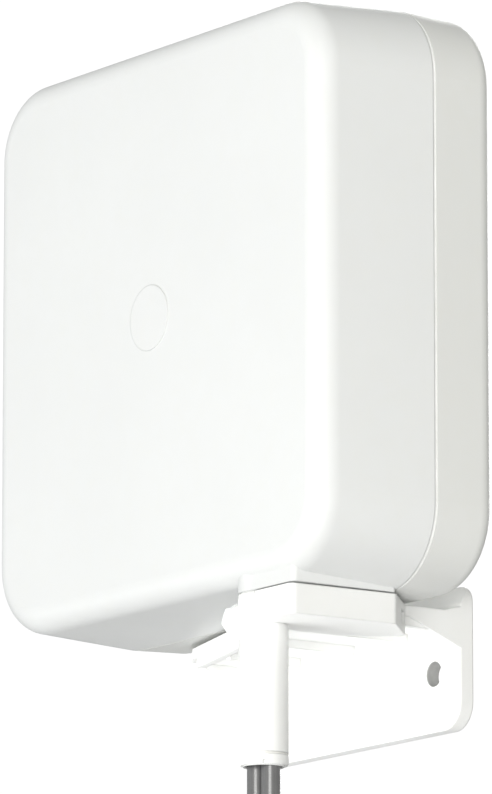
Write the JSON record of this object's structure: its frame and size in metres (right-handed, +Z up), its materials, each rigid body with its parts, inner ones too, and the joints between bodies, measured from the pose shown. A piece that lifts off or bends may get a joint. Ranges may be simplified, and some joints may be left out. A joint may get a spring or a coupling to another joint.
{
  "type": "yagi antenna",
  "caption": "Closed square directional antenna that swings in azimuth on a hollow spindle in the barrel of a wall bracket, with coaxial tails hanging from the barrel.",
  "frame": {"origin": "on the wall plane, midway between the two screw holes of the wall plate", "axes": "+Z up along the swivel axis, antenna beam along -Y away from the wall at rest, +X along the row of screw holes towards the swivel"},
  "size_m": [0.17, 0.0756, 0.3204],
  "materials": {
    "asa_bracket": "moulded weather-resistant plastic, fine grain",
    "asa_front": "moulded weather-resistant plastic, satin",
    "asa_rear": "moulded weather-resistant plastic, satin",
    "white_screw": "white coated steel",
    "white_alu": "white coated aluminium tube",
    "brass_insert": "knurled brass",
    "acetal": "natural acetal",
    "gasket_rubber": "light grey silicone",
    "stainless": "stainless steel",
    "alu_sheet": "rolled sheet",
    "nylon": "natural nylon",
    "laminate": "glass-epoxy laminate with solder mask",
    "copper": "tinned and bare copper",
    "cable_jacket": "black cable jacket",
    "heat_shrink": "heat-shrink sleeve",
    "gold_plate": "gold plated brass",
    "nickel_plate": "nickel plated brass"
  },
  "bodies": {
    "mount": {"wall_bracket": "asa_bracket", "lock_insert": "brass_insert", "lock_washer": "white_screw", "thrust_washer": "acetal"},
    "lock": {"lock_screw": "white_screw"},
    "antenna": {"pivot_spindle": "white_alu", "lower_washer": "acetal", "spindle_nut": "asa_bracket", "front_radome": "asa_front", "rear_cover": "asa_rear", "seam_gasket": "gasket_rubber", "cover_screws": "stainless", "reflector_plate": "alu_sheet", "reflector_standoffs": "nylon", "reflector_screws": "stainless", "dipole_board_a": "laminate", "dipole_board_b": "laminate", "dipole_copper_a": "copper", "dipole_copper_b": "copper", "director_inner": "alu_sheet", "director_outer": "alu_sheet", "director_posts": "nylon", "cable_clips": "nylon", "feed_pins": "copper", "cable_left": "cable_jacket", "cable_right": "cable_jacket", "boot_left": "heat_shrink", "boot_right": "heat_shrink", "plug_left": "gold_plate", "plug_right": "gold_plate"},
    "nut_left": {"coupling_nut_left": "nickel_plate"},
    "nut_right": {"coupling_nut_right": "nickel_plate"}
  },
  "joints": [
    {"name": "azimuth", "type": "hinge", "parent": "mount", "child": "antenna", "pos_m": [0.0433, -0.0663, 0], "axis": [0, 0, 1], "range_deg": [-5, 95]},
    {"name": "lock_turn", "type": "hinge", "parent": "mount", "child": "lock", "pos_m": [0.03, -0.0663, 0.0108], "axis": [1, 0, 0], "continuous": true},
    {"name": "nut_left_turn", "type": "hinge", "parent": "antenna", "child": "nut_left", "pos_m": [0.0345, -0.06817, -0.13], "axis": [0, 0, 1], "continuous": true},
    {"name": "nut_right_turn", "type": "hinge", "parent": "antenna", "child": "nut_right", "pos_m": [0.0521, -0.06443, -0.13], "axis": [0, 0, 1], "continuous": true}
  ]
}
